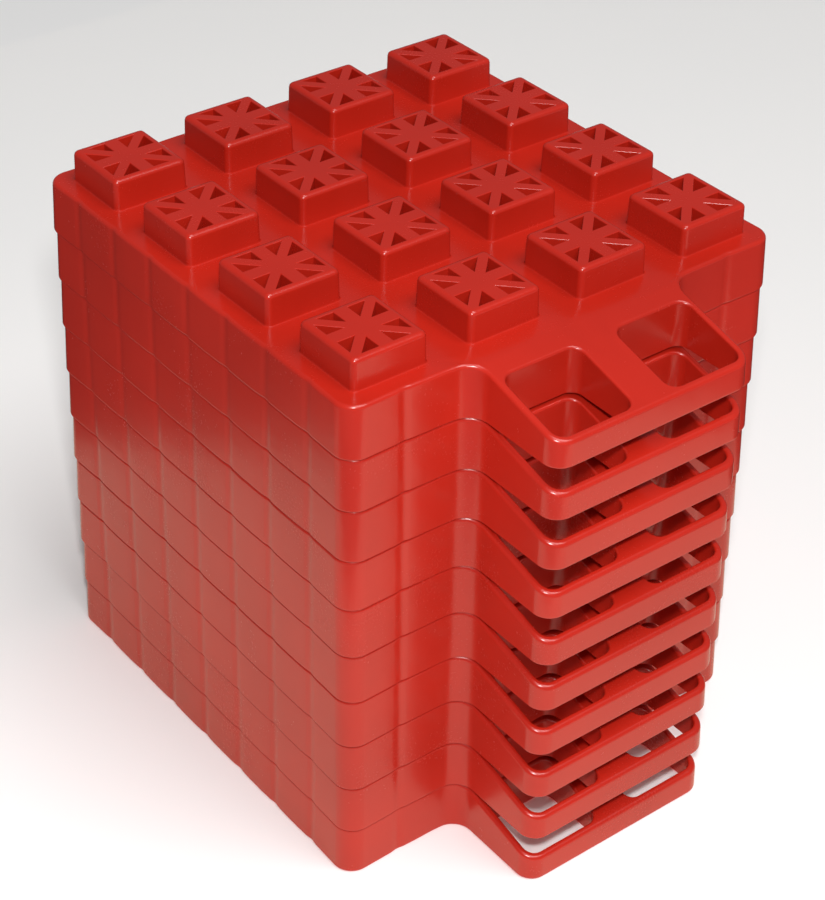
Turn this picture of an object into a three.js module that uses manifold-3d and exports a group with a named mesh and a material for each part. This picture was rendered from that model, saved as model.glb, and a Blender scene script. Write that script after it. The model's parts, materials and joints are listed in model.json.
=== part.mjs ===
// A stack of interlocking leveling blocks for a trailer or caravan wheel.
// Every block is one moulding: a square body with a grid of square pegs on top, a grid of
// square sockets underneath that drop over the pegs of the block below, and a two-finger
// carrying handle on its front side. Units are millimetres, +Z is up, the handles point to -Y.
// The origin is at the middle of the whole stack's footprint, on the ground.

import * as THREE from 'three';
import { ConvexGeometry } from 'three/addons/geometries/ConvexGeometry.js';
import { mergeGeometries, mergeVertices } from 'three/addons/utils/BufferGeometryUtils.js';
import Module from 'manifold-3d';

const wasm = await Module();
wasm.setup();

// The stack
const blockCount = 10;
const seatGap = 0.1; // left between a block's rim and the top plate that it stands on

// The body of one block
const bodyWidth = 216; // along X, at the rim
const bodyDepth = 216; // along Y, at the rim
const blockHeight = 23.4; // from the rim to the top plate
const bodyCornerRadius = 9;
const wallDraft = 0.8; // how far each side wall leans in from the rim to the top plate

// The pegs on top
const pegPitch = 54;
const pegWidth = 34.6; // at the peg's foot
const pegHeight = 13.5;
const pegDraft = 0.3; // how far each side of a peg leans in from its foot to its top
const pegFrameWall = 2.5; // width of the frame round the spokes, at the peg's top
const spokeWidth = 6.6; // of the four spokes that run to the middle of a side
const cornerSpokeWidth = 4.4; // of the four spokes that run to a corner

// The sockets underneath
const socketClearance = 0.4; // between a peg's foot and the socket, each side
const socketHeadroom = 0.6; // between a peg's top and the socket's ceiling
const socketSkin = 2.5; // material left between a socket's ceiling and the tips of the pockets above it

// The handle
const handleWidth = 99;
const handleReach = 48; // from the body's front side to the outer face of the grip
const handleEndHeight = 11.5; // height of the grip's outer face
const handleCornerRadius = 8;
const handleRootRadius = 9; // inside corners where the handle leaves the body
const handleRootLand = 10.5; // from the body's front side to the finger holes
const handleRail = 3.5; // wall beside each finger hole
const gripWall = 3.5; // wall in front of the finger holes
const fingerDivider = 18; // between the two finger holes
const fingerCornerRadius = 5;

// How far a cutting tool runs past the faces that it cuts, and the segments of a round corner
const overrun = 1;
const cornerSegments = 1; // a corner's arc gets twice this many straight pieces

const pitchHeight = blockHeight + seatGap;
const halfWidth = bodyWidth / 2;
const halfDepth = bodyDepth / 2;
const handleEnd = -halfDepth - handleReach;
const footprintShift = handleReach / 2;
const socketWidth = pegWidth + 2 * socketClearance;
const socketDepth = pegHeight + socketHeadroom;

// A closed shape from corners given as [x, y, radius], every one a right angle.
function roundedShape(corners) {
  const shape = new THREE.Shape();
  corners.forEach(([x, y, radius], index) => {
    const corner = new THREE.Vector2(x, y);
    const previous = corners[(index + corners.length - 1) % corners.length];
    const next = corners[(index + 1) % corners.length];
    const back = new THREE.Vector2(previous[0], previous[1]).sub(corner).setLength(radius);
    const ahead = new THREE.Vector2(next[0], next[1]).sub(corner).setLength(radius);
    const centre = corner.clone().add(back).add(ahead);
    const startAngle = ahead.clone().negate().angle();
    const endAngle = back.clone().negate().angle();
    shape.absarc(centre.x, centre.y, radius, startAngle, endAngle, back.cross(ahead) > 0);
  });
  shape.closePath();
  return shape;
}

// A shape raised along +Z from zero to a height.
function raised(shape, height) {
  const options = { depth: height, bevelEnabled: false, curveSegments: cornerSegments };
  return new THREE.ExtrudeGeometry(shape, options);
}

// Leans the sides of a raised shape in towards the Z axis, by the inset at its own top.
function drafted(geometry, height, inset, halfX, halfY) {
  const position = geometry.getAttribute('position');
  for (let i = 0; i < position.count; i += 1) {
    const rise = position.getZ(i) / height;
    position.setX(i, position.getX(i) * (1 - (inset * rise) / halfX));
    position.setY(i, position.getY(i) * (1 - (inset * rise) / halfY));
  }
  return geometry;
}

// A square shape centred on the axis.
function squareShape(width) {
  const half = width / 2;
  return new THREE.Shape([
    new THREE.Vector2(-half, -half),
    new THREE.Vector2(half, -half),
    new THREE.Vector2(half, half),
    new THREE.Vector2(-half, half),
  ]);
}

function toSolid(geometry) {
  const bare = geometry.clone();
  bare.deleteAttribute('normal');
  bare.deleteAttribute('uv');
  const merged = mergeVertices(bare);
  return new wasm.Manifold(new wasm.Mesh({
    numProp: 3,
    vertProperties: new Float32Array(merged.getAttribute('position').array),
    triVerts: new Uint32Array(merged.getIndex().array),
  }));
}

function toGeometry(solid) {
  const mesh = solid.getMesh();
  const geometry = new THREE.BufferGeometry();
  geometry.setAttribute('position', new THREE.BufferAttribute(mesh.vertProperties, 3));
  geometry.setIndex(new THREE.BufferAttribute(mesh.triVerts, 1));
  const flat = geometry.toNonIndexed();
  flat.computeVertexNormals();
  return flat;
}

// The same geometry at every peg's place, as one set of separate shells.
function atEveryPeg(geometry) {
  const columns = Math.floor(bodyWidth / pegPitch);
  const rows = Math.floor(bodyDepth / pegPitch);
  const copies = [];
  for (let column = 0; column < columns; column += 1) {
    for (let row = 0; row < rows; row += 1) {
      const x = (column - (columns - 1) / 2) * pegPitch;
      const y = (row - (rows - 1) / 2) * pegPitch;
      copies.push(geometry.clone().translate(x, y, 0));
    }
  }
  return mergeGeometries(copies);
}

// Body and handle share one outline, so that the walls run round both without a break.
function bodyOutline() {
  const side = handleWidth / 2;
  return roundedShape([
    [-halfWidth, halfDepth, bodyCornerRadius],
    [-halfWidth, -halfDepth, bodyCornerRadius],
    [-side, -halfDepth, handleRootRadius],
    [-side, handleEnd, handleCornerRadius],
    [side, handleEnd, handleCornerRadius],
    [side, -halfDepth, handleRootRadius],
    [halfWidth, -halfDepth, bodyCornerRadius],
    [halfWidth, halfDepth, bodyCornerRadius],
  ]);
}

// What is cut off the handle's top, so that it slopes down from the body to the grip.
function handleSlopeCut() {
  const drop = ((blockHeight - handleEndHeight) * overrun) / handleReach;
  const side = new THREE.Shape([
    new THREE.Vector2(-halfDepth, blockHeight),
    new THREE.Vector2(handleEnd - overrun, handleEndHeight - drop),
    new THREE.Vector2(handleEnd - overrun, blockHeight + overrun),
    new THREE.Vector2(-halfDepth, blockHeight + overrun),
  ]);
  const length = handleWidth + 2 * handleRootRadius + 2 * overrun;
  const turn = new THREE.Matrix4().makeBasis(
    new THREE.Vector3(0, 1, 0),
    new THREE.Vector3(0, 0, 1),
    new THREE.Vector3(1, 0, 0),
  );
  return raised(side, length).translate(0, 0, -length / 2).applyMatrix4(turn);
}

function fingerHoles() {
  const inner = fingerDivider / 2;
  const outer = handleWidth / 2 - handleRail;
  const near = handleEnd + gripWall;
  const far = -halfDepth - handleRootLand;
  const holes = [[-outer, -inner], [inner, outer]].map(([left, right]) => {
    const shape = roundedShape([
      [left, near, fingerCornerRadius],
      [right, near, fingerCornerRadius],
      [right, far, fingerCornerRadius],
      [left, far, fingerCornerRadius],
    ]);
    return raised(shape, blockHeight + 2 * overrun).translate(0, 0, -overrun);
  });
  return mergeGeometries(holes);
}

// The eight three-cornered pockets that leave a frame, a hub and eight spokes at a peg's top.
// Each one narrows to a tip above the socket's ceiling.
function pegPockets() {
  const reach = pegWidth / 2 - pegDraft - pegFrameWall;
  const beside = spokeWidth / 2;
  const diagonal = cornerSpokeWidth * Math.SQRT1_2;
  const mouthHeight = blockHeight + pegHeight;
  const tipHeight = socketDepth + socketSkin;
  const spread = 1 + overrun / (mouthHeight - tipHeight);
  const mouth = [
    new THREE.Vector2(beside + diagonal, beside),
    new THREE.Vector2(reach, beside),
    new THREE.Vector2(reach, reach - diagonal),
  ];
  const middle = mouth[0].clone().add(mouth[1]).add(mouth[2]).divideScalar(mouth.length);
  const pockets = [];
  for (const flip of [1, -1]) {
    const rim = mouth.map((corner) => corner.clone().sub(middle).multiplyScalar(spread).add(middle));
    const points = rim.map((corner) => new THREE.Vector3(corner.x, flip * corner.y, mouthHeight + overrun));
    points.push(new THREE.Vector3(middle.x, flip * middle.y, tipHeight));
    for (let quarter = 0; quarter < 4; quarter += 1) {
      pockets.push(new ConvexGeometry(points).rotateZ((quarter * Math.PI) / 2));
    }
  }
  return mergeGeometries(pockets);
}

function blockSolid() {
  const body = drafted(raised(bodyOutline(), blockHeight), blockHeight, wallDraft, halfWidth, halfDepth);
  const half = pegWidth / 2;
  const peg = drafted(raised(squareShape(pegWidth), pegHeight), pegHeight, pegDraft, half, half);
  const socket = raised(squareShape(socketWidth), socketDepth + overrun).translate(0, 0, -overrun);
  return toSolid(body)
    .subtract(toSolid(handleSlopeCut()))
    .add(toSolid(atEveryPeg(peg.translate(0, 0, blockHeight))))
    .subtract(toSolid(atEveryPeg(socket)))
    .subtract(toSolid(fingerHoles()))
    .subtract(toSolid(atEveryPeg(pegPockets())));
}

const blockGeometry = toGeometry(blockSolid()).translate(0, footprintShift, 0);

const stack = new THREE.Group();
for (let level = 0; level < blockCount; level += 1) {
  const material = new THREE.MeshStandardMaterial({ color: 0xb5281c, roughness: 0.32, metalness: 0 });
  const block = new THREE.Mesh(blockGeometry, material);
  block.name = `block_${String(level + 1).padStart(2, '0')}`;
  block.position.z = level * pitchHeight;
  stack.add(block);
}

export default stack;
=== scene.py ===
import json
import math

import bmesh
import bpy
from mathutils import Matrix, Vector


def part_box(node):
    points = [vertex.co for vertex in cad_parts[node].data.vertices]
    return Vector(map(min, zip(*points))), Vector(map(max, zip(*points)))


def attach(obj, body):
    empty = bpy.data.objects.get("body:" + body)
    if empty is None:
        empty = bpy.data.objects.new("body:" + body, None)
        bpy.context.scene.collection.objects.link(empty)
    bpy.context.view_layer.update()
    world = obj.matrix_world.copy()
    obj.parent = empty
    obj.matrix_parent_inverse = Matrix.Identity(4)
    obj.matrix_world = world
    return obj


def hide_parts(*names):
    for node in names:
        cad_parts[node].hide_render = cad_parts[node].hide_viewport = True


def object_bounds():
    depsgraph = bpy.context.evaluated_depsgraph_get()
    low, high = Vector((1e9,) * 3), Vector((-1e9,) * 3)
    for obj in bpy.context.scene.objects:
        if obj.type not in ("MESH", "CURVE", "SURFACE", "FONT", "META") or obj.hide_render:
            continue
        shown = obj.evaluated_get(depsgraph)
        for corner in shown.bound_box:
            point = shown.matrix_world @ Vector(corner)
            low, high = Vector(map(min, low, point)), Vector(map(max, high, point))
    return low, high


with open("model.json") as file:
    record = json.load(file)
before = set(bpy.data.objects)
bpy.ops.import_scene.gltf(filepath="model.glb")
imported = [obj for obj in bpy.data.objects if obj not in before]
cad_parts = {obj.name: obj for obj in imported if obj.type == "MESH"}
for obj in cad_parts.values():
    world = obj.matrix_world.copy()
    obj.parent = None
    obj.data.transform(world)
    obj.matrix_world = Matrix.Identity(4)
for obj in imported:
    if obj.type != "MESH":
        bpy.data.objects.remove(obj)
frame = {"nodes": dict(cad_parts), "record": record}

bl_info = {
    "name": "Leveling Block Set",
    "version": (1, 0, 0),
    "blender": (4, 5, 0),
    "location": "3D View > Sidebar > Blocks",
    "description": "Builds a stack of interlocking moulded leveling blocks on its packed frame",
    "category": "Add Mesh",
}

BLOCKS = sorted(frame["nodes"])
FRAME_LOW, FRAME_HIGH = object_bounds()
BLOCK_LOW, BLOCK_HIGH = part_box(BLOCKS[0])
MOUNTS = {mount["name"]: mount for mount in frame["record"]["mounts"]}
TOP_PLATE_Z = MOUNTS["top_plate"]["pos_m"][2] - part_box(BLOCKS[-1])[0].z
FULL_WIDTH = BLOCK_HIGH.x - BLOCK_LOW.x
HANDLE_REACH = BLOCK_HIGH.y - BLOCK_LOW.y - FULL_WIDTH
BODY_Y = BLOCK_HIGH.y - FULL_WIDTH / 2  # middle of the square body
CELLS = 4  # pegs in a row

HAIR = 2e-5  # how near counts as the same place, in metres
FLOOR_GAP = 0.0003  # keeps the floor clear of the underside
FLOOR_RADIUS = 3.2
SINK_STEPS = (0.15, 0.4, 0.65, 1)  # cuts through half a sink mark, as shares of its half width
BOW_STEP = 0.32  # cut through the bow beside a mark, as a share of the gap between two marks

# a normal's part along an axis
FACING = 0.9  # of a face that looks along it, give or take a draft
LEVEL = 0.999  # of a face that is truly level
SLOPED = 0.5  # between the handle's slope and a wall
STEEP = 0.3  # of a wall, and less than of any rounding
FLAT_ANGLE = 0.01  # radians, below which an edge is only a cut's end

# name, place, aim, side in metres, watts
LAMPS = (
    ("key_light", (0.42, -1.80, 4.6), (0, 0, 0.1), 3.0, 160),
    ("flash", (-0.47, -0.60, 0.80), (0, 0, 0.15), 0.06, 6.5),
    ("light_below", (0, 0, -1.1), (0, 0, 0), 1.2, 9),
)
# name, middle of one edge, the way that edge runs (the card lies left of it), side, height, shade
CARDS = (
    # painted warm reflection: a cream sheet under the stack that only reflections see
    ("cream_card", (0.7, 0), (0, 1), 1.4, 0.001, "cream"),
    # painted dark reflections: dark sheets beyond the stack that only reflections see
    ("dark_card_behind", (-0.299, 0.249), (1, 1.5), 1.6, 0.002, "dark"),
    ("dark_card_before", (0.265, -0.32), (0, -1), 1.6, 0.002, "dark"),
    ("dark_card_near", (-0.251, -0.265), (-0.785, 0.62), 1.6, 0.003, "dark"),
)


# ---------------------------------------------------------------- sizes and finishes

def size(name, description, default):
    """A length in metres that the panel shows."""
    return bpy.props.FloatProperty(
        name=name, description=description, default=default, min=0, precision=5, unit="LENGTH")


class BLOCKS_PG_moulding(bpy.types.PropertyGroup):
    """Sizes of one moulded block."""
    width: size("Width", "Side of the square body at its rim", FULL_WIDTH - 0.0006)
    plate_height: size("Plate height", "From the rim up to the top plate", TOP_PLATE_Z)
    corner_radius: size("Corner radius", "Upright corners of the body", 0.009)
    draft: size("Draft", "How far each wall leans in from the rim to the plate", 0.0008)
    rim_round: size("Rim rounding", "Rounding along the top edge of the walls", 0.0016)
    foot_round: size("Foot rounding", "Rounding along the bottom edges", 0.0009)
    peg_pitch: size("Peg pitch", "From one peg's middle to the next", 0.054)
    peg_width: size("Peg width", "Side of a peg at its foot", 0.0346)
    peg_height: size("Peg height", "From the plate to a peg's top", BLOCK_HIGH.z - TOP_PLATE_Z)
    peg_draft: size("Peg draft", "How far each side of a peg leans in", 0.0003)
    peg_corner: size("Peg corner", "Upright corners of a peg", 0.0024)
    peg_round: size("Peg rounding", "Rounding round a peg's top", 0.0019)
    peg_fillet: size("Peg fillet", "Fillet round a peg's foot", 0.0009)
    spoke_width: size("Spoke width", "Spokes that run to the middle of a side", 0.0066)
    corner_spoke_width: size("Corner spoke width", "Spokes that run to a corner", 0.0044)
    frame_wall: size("Frame wall", "Frame round the spokes at a peg's top", 0.0030)
    pocket_depth: size("Pocket depth", "Depth of the pockets between the spokes", 0.0195)
    pocket_round: size("Pocket rounding", "Rounding round a pocket's mouth", 0.0004)
    socket_width: size("Socket width", "Side of a socket underneath", 0.0354)
    socket_depth: size("Socket depth", "Depth of a socket", 0.0141)
    socket_corner: size("Socket corner", "Upright corners of a socket", 0.0038)
    socket_wall: size("Socket wall", "Wall round a socket", 0.0024)
    skirt_wall: size("Skirt wall", "Wall round the whole body", 0.003)
    skirt_corner: size("Skirt corner", "Inside corners of that wall", 0.0034)
    rib_width: size("Rib width", "Ribs between sockets and to the skirt", 0.0024)
    rib_recess: size("Rib recess", "How far the ribs stop short of the rim", 0.0015)
    hollow_depth: size("Hollow depth", "Depth of the hollows between the sockets", 0.0204)
    handle_width: size("Handle width", "Width of the handle", 0.099)
    handle_reach: size("Handle reach", "From the body's front to the grip's face", HANDLE_REACH)
    handle_end_height: size("Grip height", "Height of the grip's outer face", 0.0115)
    handle_draft: size("Handle draft", "How far the grip's outer face leans in", 0.0004)
    handle_corner: size("Handle corner", "Outer upright corners of the handle", 0.008)
    handle_root: size("Handle root", "Inside corners between handle and body", 0.009)
    root_land: size("Root land", "From the body's front to the finger holes", 0.0105)
    rail: size("Rail", "Wall beside each finger hole", 0.0035)
    grip_wall: size("Grip wall", "Wall in front of the finger holes", 0.0035)
    divider: size("Divider", "Between the two finger holes", 0.018)
    finger_corner: size("Finger corner", "Upright corners of a finger hole", 0.005)
    finger_round: size("Finger rounding", "Rounding round a finger hole's mouth", 0.0011)
    sink_depth: size("Sink mark depth", "Marks where the ribs meet the walls", 0.0004)
    sink_half: size("Sink mark half", "From a sink mark's middle to its edge", 0.0036)
    wall_bow: size("Wall bow", "How far a wall bows in at the marks", 0.0004)


class BLOCKS_PG_finish(bpy.types.PropertyGroup):
    """Colour and gloss of the moulded plastic."""
    colour: bpy.props.FloatVectorProperty(
        name="Colour", description="Colour of the plastic", subtype="COLOR",
        default=(0.475, 0.0165, 0.0076), min=0, max=1)
    deep_colour: bpy.props.FloatVectorProperty(
        name="Deep colour", description="Colour where the melt set darker", subtype="COLOR",
        default=(0.41, 0.0138, 0.0062), min=0, max=1)
    roughness: bpy.props.FloatProperty(
        name="Roughness", description="Roughness of a clean wall", default=0.24, min=0, max=1)
    scuff_roughness: bpy.props.FloatProperty(
        name="Scuff roughness", description="Roughness where handling has dulled it",
        default=0.36, min=0, max=1)
    misfit: bpy.props.FloatProperty(
        name="Misfit", description="How far a block sits off the one below, sideways",
        default=0.0002, min=0, precision=5, unit="LENGTH")


class BLOCKS_PG_studio(bpy.types.PropertyGroup):
    """Camera and light."""
    azimuth: bpy.props.FloatProperty(
        name="Azimuth", description="Camera's bearing round the stack, zero looks along +Y",
        default=math.radians(-38.302), subtype="ANGLE")
    elevation: bpy.props.FloatProperty(
        name="Elevation", description="Camera's height above the horizon",
        default=math.radians(35.596), subtype="ANGLE")
    roll: bpy.props.FloatProperty(
        name="Roll", description="Camera's lean", default=math.radians(1.248), subtype="ANGLE")
    distance: bpy.props.FloatProperty(
        name="Distance", description="From the camera to its aim", default=0.9623, unit="LENGTH")
    aim_right: bpy.props.FloatProperty(
        name="Aim right", description="Aim's place right of the stack's middle",
        default=-0.0094, precision=4, unit="LENGTH")
    aim_up: bpy.props.FloatProperty(
        name="Aim up", description="Aim's place above the stack's middle, in the view",
        default=0.0008, precision=4, unit="LENGTH")
    lens: bpy.props.FloatProperty(
        name="Lens", description="Focal length in millimetres", default=89.08, min=1)
    surroundings: bpy.props.FloatProperty(
        name="Surroundings", description="Strength of the light from all round",
        default=0.17, min=0)
    far_walls: bpy.props.FloatProperty(
        name="Far walls", description="How bright the room's far walls look", default=0.8, min=0)


# ---------------------------------------------------------------- working in edit mode

def deselect_all():
    """Leaves edit mode and drops every selection."""
    if bpy.context.object and bpy.context.object.mode != "OBJECT":
        bpy.ops.object.mode_set(mode="OBJECT")
    bpy.ops.object.select_all(action="DESELECT")


def pick(kind, test):
    """Selects what passes a test in the mesh in edit mode, and counts it."""
    modes = {"verts": "VERT", "edges": "EDGE", "faces": "FACE"}
    bpy.ops.mesh.select_mode(type=modes[kind])
    bpy.ops.mesh.select_all(action="DESELECT")
    mesh = bmesh.from_edit_mesh(bpy.context.object.data)
    chosen = [element for element in getattr(mesh, kind) if test(element)]
    for element in chosen:
        element.select_set(True)
    mesh.select_flush_mode()
    bmesh.update_edit_mesh(bpy.context.object.data)
    return len(chosen)


def must_pick(kind, test, what):
    """Selects as pick does, and stops where nothing passes."""
    if not pick(kind, test):
        raise RuntimeError(f"found no {kind} for {what}")


def cut_across(test, xs=(), ys=()):
    """Cuts the faces that pass a test along planes square to X and to Y."""
    for places, normal in ((xs, (1, 0, 0)), (ys, (0, 1, 0))):
        for place in places:
            if pick("faces", test):
                where = [place * part for part in normal]
                bpy.ops.mesh.bisect(plane_co=where, plane_no=normal, threshold=HAIR / 10)


def pull(offset):
    """Extrudes the selected faces by an offset."""
    bpy.ops.mesh.extrude_region_move(TRANSFORM_OT_translate={"value": offset})


def round_off(radius, segments):
    """Bevels the selected edges."""
    bpy.ops.mesh.bevel(
        offset_type="OFFSET", offset=radius, segments=segments, profile=0.5,
        affect="EDGES", clamp_overlap=False)


def middle(edge):
    return (edge.verts[0].co + edge.verts[1].co) / 2


def upright(edge):
    """Whether an edge stands, give or take its draft."""
    along = edge.verts[1].co - edge.verts[0].co
    return abs(along.z) > FACING * along.length and along.length > 5 * HAIR


def centre(face):
    return face.calc_center_median()


def is_mouth(edge):
    """Whether an edge lies between a face that looks up and a wall that goes down from it."""
    levels = [face for face in edge.link_faces if face.normal.z > FACING]
    walls = [face for face in edge.link_faces if abs(face.normal.z) < SLOPED]
    if len(levels) != 1 or len(walls) != 1:
        return False
    return centre(walls[0]).z < middle(edge).z


# ---------------------------------------------------------------- layout of one block

def cell_places(s):
    """Where the cells' middles lie along X, and along Y from the body's middle."""
    return [(index - (CELLS - 1) / 2) * s.peg_pitch for index in range(CELLS)]


def cell_lines(s, offsets):
    """X and Y places at the given offsets from the middle of every cell."""
    xs = [step + offset for step in cell_places(s) for offset in offsets]
    return xs, [BODY_Y + x for x in xs]


def from_cell(s, point):
    """How far a point lies from its cell's middle along X and Y, without sign."""
    across = []
    for value in (point.x, point.y - BODY_Y):
        index = min(CELLS - 1, max(0, math.floor(value / s.peg_pitch + CELLS / 2)))
        across.append(abs(value - cell_places(s)[index]))
    return across


class Handle:
    """Where the handle's walls and holes lie."""

    def __init__(self, s):
        self.side = s.handle_width / 2
        self.front = BODY_Y - s.width / 2
        self.end = self.front - s.handle_reach
        self.inner = s.divider / 2
        self.outer = self.side - s.rail
        self.near = self.end + s.grip_wall
        self.crease = self.front - s.handle_root * (1 - math.sqrt(0.5))  # half-way round the root
        self.far = self.front - s.root_land
        self.drop = s.plate_height - s.handle_end_height

    def in_hole(self, point, slack=0.0):
        """Whether a point lies in a finger hole, seen from above."""
        across = self.inner - slack < abs(point.x) < self.outer + slack
        return across and self.near - slack < point.y < self.far + slack


# ---------------------------------------------------------------- modelling steps

def start_body(s, handle):
    """The square body with a level handle drawn out of its front."""
    bpy.ops.mesh.primitive_cube_add(
        size=1, location=(0, BODY_Y, s.plate_height / 2),
        scale=(s.width, s.width, s.plate_height))
    bpy.ops.object.transform_apply(location=True, rotation=True, scale=True)
    bpy.ops.object.mode_set(mode="EDIT")
    cut_across(lambda face: face.normal.y < -FACING, xs=(-handle.side, handle.side))
    must_pick("faces", lambda face: face.normal.y < -FACING
              and abs(centre(face).x) < handle.side / 2, "the handle's root")
    pull((0, handle.end - handle.front, 0))
    for sign in (-1, 1):
        must_pick("faces", lambda face: face.normal.z * sign > FACING, "the caps")
        bpy.ops.mesh.dissolve_faces()


def round_uprights(s, handle):
    """Rounds the upright corners of body and handle."""
    places = (
        (s.corner_radius, 10, lambda p: abs(p.x) > handle.side + HAIR),
        (s.handle_root, 8, lambda p: abs(p.x) < handle.side + HAIR and p.y > handle.end + HAIR),
        (s.handle_corner, 8, lambda p: p.y < handle.end + HAIR),
    )
    for radius, segments, here in places:
        must_pick("edges", lambda edge: upright(edge) and here(middle(edge)), "upright corners")
        round_off(radius, segments)


def slope_handle(s, handle):
    """Cuts the handle's top down towards the grip, and leans the walls in."""
    cut_across(lambda face: abs(face.normal.z) > FACING, ys=(handle.crease,))
    must_pick("faces", lambda face: face.normal.z > -SLOPED
              and abs(centre(face).x) < handle.side + HAIR + s.handle_root
              and centre(face).y < handle.front + HAIR, "the handle")
    bpy.ops.mesh.bisect(
        plane_co=(0, handle.crease, s.plate_height),
        plane_no=(0, -handle.drop, handle.crease - handle.end),
        threshold=HAIR / 10, clear_outer=True)
    must_pick("edges", lambda edge: edge.is_boundary, "the slope's outline")
    bpy.ops.mesh.edge_face_add()
    must_pick("verts", lambda vert: vert.co.z > s.handle_end_height / 2, "the walls' top")
    lean = 1 - 2 * s.draft / s.width
    bpy.ops.transform.resize(value=(lean, lean, 1), center_override=(0, BODY_Y, 0))
    must_pick("verts", lambda vert: vert.co.z > s.handle_end_height / 2
              and vert.co.y < handle.end + s.handle_corner + 3 * s.draft, "the grip's top")
    back = (BODY_Y - handle.end) * (1 - lean) - s.handle_draft
    bpy.ops.transform.translate(value=(0, -back, 0))


def mark_walls(s, handle):
    """Sink marks where the ribs meet the walls, and the slight bow between them."""
    half = s.width / 2
    straight = half - s.corner_radius - HAIR
    behind_handle = handle.side + s.handle_root + HAIR
    gap = s.peg_pitch / 2
    marks = [step * gap for step in range(1 - CELLS, CELLS)]
    offsets = [s.sink_half * share for share in SINK_STEPS] + [gap * BOW_STEP]
    for axis, sign in ((0, -1), (0, 1), (1, -1), (1, 1)):
        along = 1 - axis
        out = Vector((sign, 0, 0)) if axis == 0 else Vector((0, sign, 0))
        middle_along = BODY_Y if along == 1 else 0

        def on_wall(face):
            return face.normal.dot(out) > FACING and centre(face).y > handle.front - s.draft

        def free(place):
            if abs(place) > straight:
                return False
            return out.y > -0.5 or abs(place) > behind_handle

        for offset in offsets:
            steps = [mark + way * offset for mark in marks for way in (-1, 1)]
            places = [middle_along + step for step in steps if free(step)]
            cut_across(on_wall, **{("xs", "ys")[along]: places})

        for offset in offsets:
            bow = s.wall_bow * math.cos(math.pi * offset / gap)
            share = math.cos(math.pi / 2 * min(1, offset / s.sink_half)) ** 2
            inward = share * s.sink_depth + bow
            reach = half - 2 * s.draft

            def in_column(vert):
                place = vert.co - Vector((0, BODY_Y, 0))
                if place.dot(out) < reach or not free(place[along]):
                    return False
                off = min(abs(place[along] - mark) for mark in marks)
                return abs(off - offset) < 5 * HAIR

            must_pick("verts", in_column, "a sink mark")
            bpy.ops.transform.translate(value=-out * inward)


def open_handle(s, handle):
    """Two finger holes through the handle, with rounded upright corners."""
    def in_handle(face):
        return centre(face).y < handle.crease - HAIR

    sides = (-handle.outer, -handle.inner, handle.inner, handle.outer)
    cut_across(in_handle, xs=(0, *sides), ys=(handle.near, (handle.near + handle.far) / 2, handle.far))
    must_pick("faces", lambda face: abs(face.normal.z) > SLOPED
              and handle.in_hole(centre(face)), "the finger holes")
    bpy.ops.mesh.delete(type="FACE")
    for side in (-1, 1):
        must_pick("edges", lambda edge: edge.is_boundary and middle(edge).x * side > 0,
                  "a finger hole's rims")
        bpy.ops.mesh.bridge_edge_loops()

    def at_hole_corner(edge):
        place = middle(edge)
        across = min(abs(abs(place.x) - handle.inner), abs(abs(place.x) - handle.outer))
        along = min(abs(place.y - handle.near), abs(place.y - handle.far))
        return upright(edge) and across < HAIR and along < HAIR

    def spare_line(edge):
        place = middle(edge)
        if place.y > handle.crease - HAIR or len(edge.link_faces) != 2:
            return False
        if edge.calc_face_angle() > FLAT_ANGLE:
            return False
        across = min(abs(place.x - side) for side in sides)
        along = min(abs(place.y - handle.near), abs(place.y - handle.far))
        return min(across, along) < HAIR

    must_pick("edges", spare_line, "the cuts' ends")
    bpy.ops.mesh.dissolve_edges(use_verts=True)
    must_pick("edges", at_hole_corner, "the finger holes' corners")
    round_off(s.finger_corner, segments=6)


def raise_pegs(s):
    """Sixteen pegs drawn up out of the plate."""
    half = s.peg_width / 2

    def on_plate(face):
        return face.normal.z > LEVEL and centre(face).z > s.plate_height - HAIR

    xs, ys = cell_lines(s, (-half, half))
    cut_across(on_plate, xs, ys)
    must_pick("faces", lambda face: on_plate(face)
              and max(from_cell(s, centre(face))) < half / 2, "the pegs")
    pull((0, 0, s.peg_height))
    lean = 1 - s.peg_draft / half
    for x in cell_places(s):
        for y in cell_places(s):
            def on_peg(vert):
                off = max(abs(vert.co.x - x), abs(vert.co.y - BODY_Y - y))
                return off < s.peg_pitch / 2 and vert.co.z > s.plate_height + HAIR

            must_pick("verts", on_peg, "a peg's top")
            bpy.ops.transform.resize(value=(lean, lean, 1), center_override=(x, BODY_Y + y, 0))
    must_pick("edges", lambda edge: upright(edge)
              and middle(edge).z > s.plate_height + HAIR, "the pegs' corners")
    round_off(s.peg_corner, segments=5)


def star_reach(s):
    """From a peg's middle to the inside of its frame."""
    return s.peg_width / 2 - s.peg_draft - s.frame_wall


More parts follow.
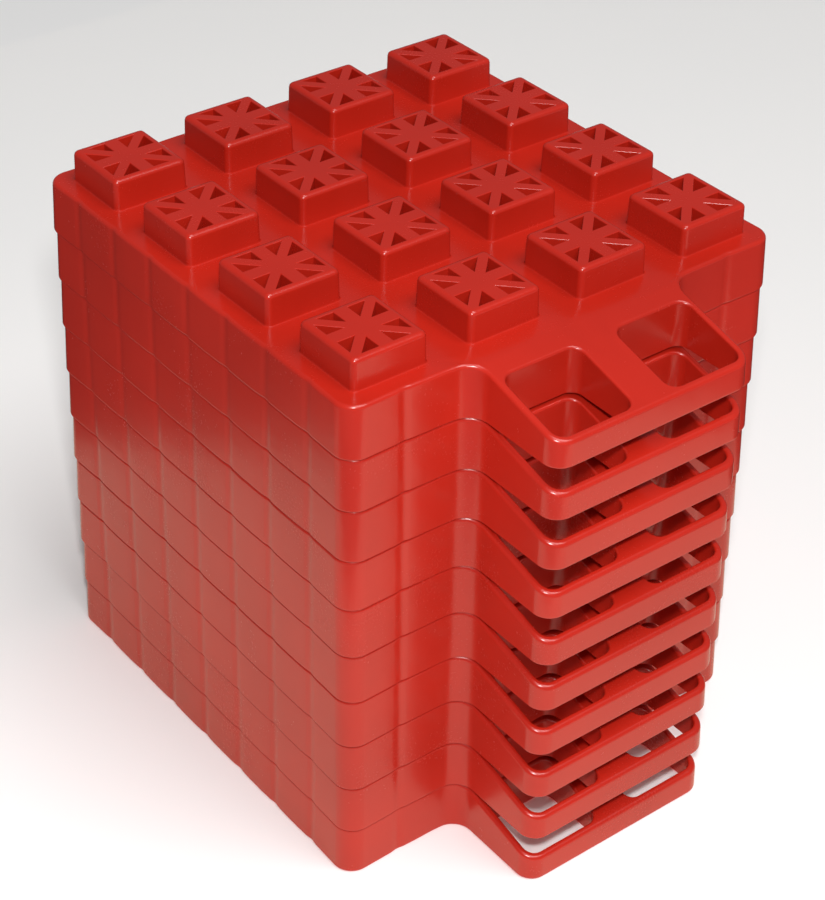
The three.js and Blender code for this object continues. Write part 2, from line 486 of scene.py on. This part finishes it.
def cut_stars(s):
    """Eight pockets in each peg's top, which leave a frame, a hub and eight spokes."""
    top = s.plate_height + s.peg_height
    reach = star_reach(s)
    beside = s.spoke_width / 2
    diagonal = s.corner_spoke_width * math.sqrt(0.5)

    def on_top(face):
        return face.normal.z > LEVEL and centre(face).z > top - HAIR

    xs, ys = cell_lines(s, (-reach, -beside, beside, reach))
    cut_across(on_top, xs, ys)
    for step in range(1 - CELLS, CELLS):
        for offset in (-diagonal, diagonal):
            for normal in ((1, -1, 0), (1, 1, 0)):
                must_pick("faces", on_top, "the pegs' tops")
                bpy.ops.mesh.bisect(
                    plane_co=(step * s.peg_pitch + offset, BODY_Y, 0),
                    plane_no=normal, threshold=HAIR / 10)

    def is_pocket(face):
        low, high = sorted(from_cell(s, centre(face)))
        return on_top(face) and low > beside and high < reach and high - low > diagonal

    must_pick("faces", is_pocket, "the pockets")
    pull((0, 0, -s.pocket_depth))
    must_pick("edges", lambda edge: middle(edge).z > top - HAIR and is_mouth(edge)
              and max(from_cell(s, middle(edge))) < reach + HAIR, "the pockets' mouths")
    round_off(s.pocket_round, segments=2)


def hollow_underside(s, handle):
    """Sockets, the hollows round them and the ribs between."""
    socket = s.socket_width / 2
    wall = socket + s.socket_wall
    rib = s.rib_width / 2
    skirt = s.width / 2 - s.skirt_wall

    def zone(face):
        """Which part of the underside a face belongs to."""
        place = centre(face)
        if face.normal.z > -LEVEL or place.z > s.rib_recess + HAIR or place.y < handle.front:
            return "elsewhere"
        across, along = from_cell(s, place)
        if max(max(abs(v.co.x), abs(v.co.y - BODY_Y)) for v in face.verts) > skirt + HAIR:
            return "skirt"
        if max(across, along) < wall:
            return "socket" if max(across, along) < socket else "wall"
        return "rib" if min(across, along) < rib else "hollow"

    xs, ys = cell_lines(s, (-wall, -socket, -rib, rib, socket, wall))
    cut_across(lambda face: zone(face) != "elsewhere",
               xs + [-skirt, skirt], ys + [BODY_Y - skirt, BODY_Y + skirt])

    def across_corner(edge):
        place = middle(edge)
        off = min(abs(place.x), abs(place.y - BODY_Y)) - skirt
        return place.z < HAIR and off > -HAIR and edge.calc_face_angle() < FLAT_ANGLE

    must_pick("edges", across_corner, "the cuts' ends at the corners")
    bpy.ops.mesh.dissolve_edges(use_verts=False)
    for parts, depth in (
        (("socket",), s.socket_depth),
        (("rib", "hollow"), s.rib_recess),
        (("hollow",), s.hollow_depth - s.rib_recess),
    ):
        must_pick("faces", lambda face: zone(face) in parts, parts[0])
        pull((0, 0, depth))

    def across_wall_corner(edge):
        low, high = sorted(from_cell(s, middle(edge)))
        inside = low > socket - HAIR and high < wall + HAIR
        return inside and middle(edge).z < HAIR and edge.calc_face_angle() < FLAT_ANGLE

    must_pick("edges", across_wall_corner, "the cuts' ends at the sockets' corners")
    bpy.ops.mesh.dissolve_edges(use_verts=False)

    def at_socket_corner(edge):
        off = [abs(value - socket) for value in from_cell(s, middle(edge))]
        return max(off) < HAIR and upright(edge)

    def at_skirt_corner(edge):
        place = middle(edge)
        off = [abs(abs(value) - skirt) for value in (place.x, place.y - BODY_Y)]
        return max(off) < HAIR and upright(edge)

    must_pick("edges", at_socket_corner, "the sockets' corners")
    round_off(s.socket_corner, segments=4)
    must_pick("edges", at_skirt_corner, "the skirt's inside corners")
    round_off(s.skirt_corner, segments=5)


def round_rims(s, handle):
    """Rounds the edges that a hand meets."""
    top = s.plate_height + s.peg_height
    over_star = star_reach(s) + s.pocket_round + 5 * HAIR

    def peg_rim(edge):
        off = max(from_cell(s, middle(edge)))
        return middle(edge).z > top - HAIR and is_mouth(edge) and off > over_star

    def wall_rim(edge):
        place = middle(edge)
        level = s.handle_end_height / 2 < place.z < s.plate_height + HAIR
        return level and is_mouth(edge) and not handle.in_hole(place, HAIR)

    def hole_rim(edge):
        return is_mouth(edge) and handle.in_hole(middle(edge), HAIR)

    def peg_foot(edge):
        place = middle(edge)
        if abs(place.z - s.plate_height) > HAIR or place.y < handle.front:
            return False
        if max(from_cell(s, place)) > s.peg_width / 2 + HAIR:
            return False
        return any(abs(face.normal.z) < STEEP for face in edge.link_faces)

    def bottom_rim(edge):
        slopes = sorted(face.normal.z for face in edge.link_faces)
        return middle(edge).z < HAIR and slopes[0] < -FACING and abs(slopes[-1]) < STEEP

    for radius, segments, test, what in (
        (s.peg_round, 3, peg_rim, "the pegs' rims"),
        (s.rim_round, 4, wall_rim, "the walls' rim"),
        (s.finger_round, 3, hole_rim, "the finger holes' rims"),
        (s.peg_fillet, 2, peg_foot, "the pegs' feet"),
        (s.foot_round, 2, bottom_rim, "the bottom rims"),
    ):
        must_pick("edges", test, what)
        round_off(radius, segments)


def model_block(s):
    """One whole block, as the object in hand."""
    handle = Handle(s)
    start_body(s, handle)
    round_uprights(s, handle)
    slope_handle(s, handle)
    mark_walls(s, handle)
    open_handle(s, handle)
    raise_pegs(s)
    cut_stars(s)
    hollow_underside(s, handle)
    round_rims(s, handle)
    bpy.ops.mesh.select_all(action="SELECT")
    bpy.ops.mesh.remove_doubles(threshold=HAIR / 20)
    bpy.ops.mesh.normals_make_consistent(inside=False)
    bpy.ops.object.mode_set(mode="OBJECT")
    bpy.ops.object.shade_smooth_by_angle(angle=math.radians(35))
    block = bpy.context.object
    weigh = block.modifiers.new("Even shading", "WEIGHTED_NORMAL")
    weigh.keep_sharp = True
    bpy.ops.object.modifier_apply(modifier=weigh.name)
    return block


def stack_blocks(block, finish):
    """A copy of the block at every level, each in its CAD block's place."""
    for index, node in enumerate(BLOCKS):
        deselect_all()
        block.select_set(True)
        bpy.context.view_layer.objects.active = block
        bpy.ops.object.duplicate(linked=False)
        piece = bpy.context.object
        piece.name = f"moulded_{node}"
        piece.data.name = piece.name
        # uneven steps of sine and cosine, so that no two blocks sit alike
        turn = finish.misfit * math.sin(2.3 * index + 0.7) / FULL_WIDTH
        step = Vector((math.sin(1.9 * index), math.cos(2.9 * index), 0)) * finish.misfit / 2
        step.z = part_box(node)[0].z - BLOCK_LOW.z
        bpy.ops.transform.rotate(value=turn, orient_axis="Z", center_override=(0, BODY_Y, 0))
        bpy.ops.transform.translate(value=step)
        bpy.ops.object.transform_apply(location=True, rotation=True, scale=True)
        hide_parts(node)
        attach(piece, node)
    deselect_all()
    block.select_set(True)
    bpy.ops.object.delete()


# ---------------------------------------------------------------- materials

def shader(name):
    """A new material with nodes, its node tree and its Principled node."""
    material = bpy.data.materials.new(name)
    material.use_nodes = True
    tree = material.node_tree
    return material, tree, tree.nodes["Principled BSDF"]


def add(tree, kind, label, **values):
    """A node with its settings and its socket values."""
    node = tree.nodes.new(kind)
    node.label = label
    for key, value in values.items():
        if key in node.inputs:
            node.inputs[key].default_value = value
        else:
            setattr(node, key, value)
    return node


def noise(tree, place, label, scale, detail=3.0, roughness=0.5):
    """Noise over a place vector, and its value."""
    node = add(tree, "ShaderNodeTexNoise", label, Scale=scale, Detail=detail, Roughness=roughness)
    tree.links.new(place, node.inputs["Vector"])
    return node.outputs["Fac"]


def spread(tree, value, label, low, high, to_low=0.0, to_high=1.0):
    """A value's range moved to another range, and held there."""
    node = add(tree, "ShaderNodeMapRange", label, clamp=True)
    for key, number in (("From Min", low), ("From Max", high), ("To Min", to_low), ("To Max", to_high)):
        node.inputs[key].default_value = number
    tree.links.new(value, node.inputs["Value"])
    return node.outputs["Result"]


def sum_of(tree, operation, first, second, label):
    """Two values joined by a math operation."""
    node = add(tree, "ShaderNodeMath", label, operation=operation)
    for socket, value in zip(node.inputs, (first, second)):
        if isinstance(value, (int, float)):
            socket.default_value = value
        else:
            tree.links.new(value, socket)
    return node.outputs["Value"]


def plastic(finish):
    """Glossy moulded plastic with flow marks, ripples, scuffs and fine scratches."""
    material, tree, principled = shader("red moulded plastic")
    place = add(tree, "ShaderNodeTexCoord", "place").outputs["Object"]

    flow = spread(tree, noise(tree, place, "flow marks", 14, 4), "flow contrast", 0.35, 0.7)
    colour = add(tree, "ShaderNodeMix", "plastic colour", data_type="RGBA")
    colour.inputs["A"].default_value = (*finish.colour, 1)
    colour.inputs["B"].default_value = (*finish.deep_colour, 1)
    tree.links.new(flow, colour.inputs["Factor"])
    tree.links.new(colour.outputs["Result"], principled.inputs["Base Color"])

    streak = add(tree, "ShaderNodeMapping", "scratch direction", Scale=(1.0, 1.0, 14.0),
                 Rotation=(0.35, 0.2, 0.0))
    tree.links.new(place, streak.inputs["Vector"])
    scratches = spread(tree, noise(tree, streak.outputs["Vector"], "scratches", 70, 4, 0.6),
                       "scratch contrast", 0.58, 0.74)
    handled = spread(tree, noise(tree, place, "handled patches", 26, 5, 0.6),
                     "handled contrast", 0.5, 0.72)
    scuffs = sum_of(tree, "MULTIPLY", scratches, handled, "scuffs")
    grain = noise(tree, place, "grain", 900, 2)
    dull = sum_of(tree, "ADD", sum_of(tree, "MULTIPLY", handled, 0.25, "soft dulling"),
                  sum_of(tree, "MULTIPLY", scuffs, 0.3, "scuff dulling"), "dulling")
    rough = spread(tree, dull, "roughness", 0.0, 1.0, finish.roughness, finish.scuff_roughness)
    fine = spread(tree, grain, "grain roughness", 0.3, 0.7, -0.03, 0.03)
    tree.links.new(sum_of(tree, "ADD", rough, fine, "roughness sum"), principled.inputs["Roughness"])

    ripple = noise(tree, place, "wall ripples", 70, 2)
    waves = add(tree, "ShaderNodeBump", "ripples", Strength=0.25, Distance=0.0006)
    tree.links.new(ripple, waves.inputs["Height"])
    bump = add(tree, "ShaderNodeBump", "skin", Strength=0.06, Distance=0.0002)
    tree.links.new(grain, bump.inputs["Height"])
    tree.links.new(waves.outputs["Normal"], bump.inputs["Normal"])
    tree.links.new(bump.outputs["Normal"], principled.inputs["Normal"])
    principled.inputs["IOR"].default_value = 1.5
    return material


def pale_floor():
    """Matt white studio floor, which a camera below it looks through."""
    material, tree, principled = shader("pale studio floor")
    place = add(tree, "ShaderNodeTexCoord", "place").outputs["Object"]
    cloud = noise(tree, place, "faint clouding", 3, 3)
    colour = add(tree, "ShaderNodeMix", "floor colour", data_type="RGBA")
    colour.inputs["A"].default_value = (0.95, 0.945, 0.94, 1)
    colour.inputs["B"].default_value = (0.92, 0.915, 0.91, 1)
    tree.links.new(cloud, colour.inputs["Factor"])
    tree.links.new(colour.outputs["Result"], principled.inputs["Base Color"])
    tree.links.new(spread(tree, cloud, "floor roughness", 0.3, 0.7, 0.75, 0.9),
                   principled.inputs["Roughness"])
    bump = add(tree, "ShaderNodeBump", "paper tooth", Strength=0.05, Distance=0.0002)
    tree.links.new(noise(tree, place, "tooth", 1500, 2), bump.inputs["Height"])
    tree.links.new(bump.outputs["Normal"], principled.inputs["Normal"])

    clear = add(tree, "ShaderNodeBsdfTransparent", "clear")
    choose = add(tree, "ShaderNodeMixShader", "seen from below")
    below = sum_of(tree, "MULTIPLY",
                   add(tree, "ShaderNodeNewGeometry", "side").outputs["Backfacing"],
                   add(tree, "ShaderNodeLightPath", "path").outputs["Is Camera Ray"], "from below")
    tree.links.new(below, choose.inputs["Fac"])
    tree.links.new(principled.outputs["BSDF"], choose.inputs[1])
    tree.links.new(clear.outputs["BSDF"], choose.inputs[2])
    tree.links.new(choose.outputs["Shader"], tree.nodes["Material Output"].inputs["Surface"])
    return material


def card_paper(name, first, second):
    """Matt card between two shades."""
    material, tree, principled = shader(name)
    place = add(tree, "ShaderNodeTexCoord", "place").outputs["Object"]
    colour = add(tree, "ShaderNodeMix", "card colour", data_type="RGBA")
    colour.inputs["A"].default_value = (*first, 1)
    colour.inputs["B"].default_value = (*second, 1)
    tree.links.new(noise(tree, place, "card mottling", 8, 3), colour.inputs["Factor"])
    tree.links.new(colour.outputs["Result"], principled.inputs["Base Color"])
    principled.inputs["Roughness"].default_value = 0.9
    return material


# ---------------------------------------------------------------- studio

def lay_floor():
    """A wide round floor just under the stack, which lets the lamp below light the underside."""
    deselect_all()
    bpy.ops.mesh.primitive_circle_add(
        vertices=96, radius=FLOOR_RADIUS, fill_type="NGON", location=(0, 0, FRAME_LOW.z - FLOOR_GAP))
    floor = bpy.context.object
    floor.name = "studio_floor"
    bpy.ops.object.transform_apply(location=True, rotation=True, scale=True)
    floor.data.materials.append(pale_floor())
    floor.visible_shadow = False


def lay_cards():
    """A card of cream colour under the stack and dark ones beyond it, which only reflections see: a
    painted warm reflection and painted dark reflections.
    """
    papers = {
        # cream paper for the painted warm reflection round the stack
        "cream": card_paper("cream card", (0.94, 0.80, 0.63), (0.90, 0.75, 0.58)),
        # near-black paper for the painted dark reflections
        "dark": card_paper("dark card", (0.02, 0.018, 0.017), (0.04, 0.035, 0.03)),
    }
    for name, edge, along, side, height, shade in CARDS:
        along = Vector(along).normalized()
        beyond = Vector((-along.y, along.x))
        spot = Vector(edge) + beyond * side / 2
        deselect_all()
        bpy.ops.mesh.primitive_plane_add(size=side, location=(spot.x, spot.y, height))
        bpy.ops.transform.rotate(
            value=math.atan2(along.y, along.x), orient_axis="Z", center_override=(spot.x, spot.y, 0))
        bpy.ops.object.transform_apply(location=True, rotation=True, scale=True)
        card = bpy.context.object
        card.name = name
        card.data.materials.append(papers[shade])
        # hidden from camera, bounced light and shadows, so each card is only a painted reflection
        card.visible_camera = False
        card.visible_diffuse = False
        card.visible_shadow = False
        card.visible_transmission = False


def soft_light(name, place, aim, side, energy):
    """A square lamp at a place, turned to its aim."""
    lamp = bpy.data.lights.new(name, "AREA")
    lamp.shape = "SQUARE"
    lamp.size = side
    lamp.energy = energy
    holder = bpy.data.objects.new(name, lamp)
    bpy.context.scene.collection.objects.link(holder)
    holder.location = place
    holder.rotation_mode = "QUATERNION"
    holder.rotation_quaternion = (Vector(aim) - Vector(place)).to_track_quat("-Z", "Y")


def light_room(studio):
    """Even light from all round, in a room whose far walls look pale."""
    world = bpy.data.worlds.new("white room")
    bpy.context.scene.world = world
    world.use_nodes = True
    background = world.node_tree.nodes["Background"]
    background.inputs["Color"].default_value = (1, 1, 1, 1)
    tree = world.node_tree
    seen = add(tree, "ShaderNodeLightPath", "path").outputs["Is Camera Ray"]
    strength = spread(tree, seen, "far walls", 0, 1, studio.surroundings, studio.far_walls)
    tree.links.new(strength, background.inputs["Strength"])


def camera_axes(studio):
    """The camera's right, up and back directions."""
    cos, sin = math.cos, math.sin
    az, el, roll = studio.azimuth, studio.elevation, studio.roll
    back = Vector((sin(az) * cos(el), -cos(az) * cos(el), sin(el)))
    right = Vector((cos(az), sin(az), 0))
    up = back.cross(right)
    return (right * cos(roll) + up * sin(roll), up * cos(roll) - right * sin(roll), back,
            right, up)


def place_camera(studio):
    """The camera at its bearing round the stack."""
    right, up, back, level, rise = camera_axes(studio)
    middle_point = (FRAME_LOW + FRAME_HIGH) / 2
    aim = middle_point + level * studio.aim_right + rise * studio.aim_up
    camera = bpy.data.objects.new("camera", bpy.data.cameras.new("camera"))
    bpy.context.scene.collection.objects.link(camera)
    turn = Matrix((right, up, back)).transposed().to_4x4()
    camera.matrix_world = Matrix.Translation(aim + back * studio.distance) @ turn
    camera.data.lens = studio.lens
    camera.data.clip_start = 0.02
    camera.data.clip_end = 30
    camera.data.dof.use_dof = False
    bpy.context.scene.camera = camera


# ---------------------------------------------------------------- operators and panel

class BLOCKS_OT_model(bpy.types.Operator):
    """Model one moulded block"""
    bl_idname = "blocks.model"
    bl_label = "Model one block"
    bl_options = {"REGISTER", "UNDO"}

    def execute(self, context):
        deselect_all()
        block = model_block(context.scene.blocks_moulding)
        block.name = "moulded_master"
        block.data.materials.append(plastic(context.scene.blocks_finish))
        return {"FINISHED"}


class BLOCKS_OT_stack(bpy.types.Operator):
    """Stack a copy of the block at every level"""
    bl_idname = "blocks.stack"
    bl_label = "Stack the blocks"
    bl_options = {"REGISTER", "UNDO"}

    def execute(self, context):
        block = bpy.data.objects.get("moulded_master")
        if block is None:
            raise RuntimeError("model the block first")
        stack_blocks(block, context.scene.blocks_finish)
        return {"FINISHED"}


class BLOCKS_OT_stage(bpy.types.Operator):
    """Set the floor, the lights and the camera"""
    bl_idname = "blocks.stage"
    bl_label = "Set the stage"
    bl_options = {"REGISTER", "UNDO"}

    def execute(self, context):
        studio = context.scene.blocks_studio
        lay_floor()
        lay_cards()
        light_room(studio)
        for name, place, aim, side, energy in LAMPS:
            soft_light(name, place, aim, side, energy)
        place_camera(studio)
        context.scene.view_settings.view_transform = "Standard"
        return {"FINISHED"}


class BLOCKS_PT_panel(bpy.types.Panel):
    """Sizes, finish and studio of the block stack"""
    bl_label = "Leveling blocks"
    bl_idname = "BLOCKS_PT_panel"
    bl_space_type = "VIEW_3D"
    bl_region_type = "UI"
    bl_category = "Blocks"

    def draw(self, context):
        groups = (
            (BLOCKS_OT_model, context.scene.blocks_moulding),
            (BLOCKS_OT_stack, context.scene.blocks_finish),
            (BLOCKS_OT_stage, context.scene.blocks_studio),
        )
        for operator, group in groups:
            part = self.layout.box()
            for name in group.bl_rna.properties.keys():
                if name not in {"rna_type", "name"}:
                    part.prop(group, name)
            part.operator(operator.bl_idname)


GROUPS = {
    "blocks_moulding": BLOCKS_PG_moulding,
    "blocks_finish": BLOCKS_PG_finish,
    "blocks_studio": BLOCKS_PG_studio,
}
CLASSES = (*GROUPS.values(), BLOCKS_OT_model, BLOCKS_OT_stack, BLOCKS_OT_stage, BLOCKS_PT_panel)


def register():
    for cls in CLASSES:
        bpy.utils.register_class(cls)
    for name, group in GROUPS.items():
        setattr(bpy.types.Scene, name, bpy.props.PointerProperty(type=group))


def unregister():
    for name in GROUPS:
        delattr(bpy.types.Scene, name)
    for cls in reversed(CLASSES):
        bpy.utils.unregister_class(cls)


def main():
    """Builds the stack and its stage."""
    register()
    bpy.ops.blocks.model()
    bpy.ops.blocks.stack()
    bpy.ops.blocks.stage()


if __name__ == "__main__":
    main()
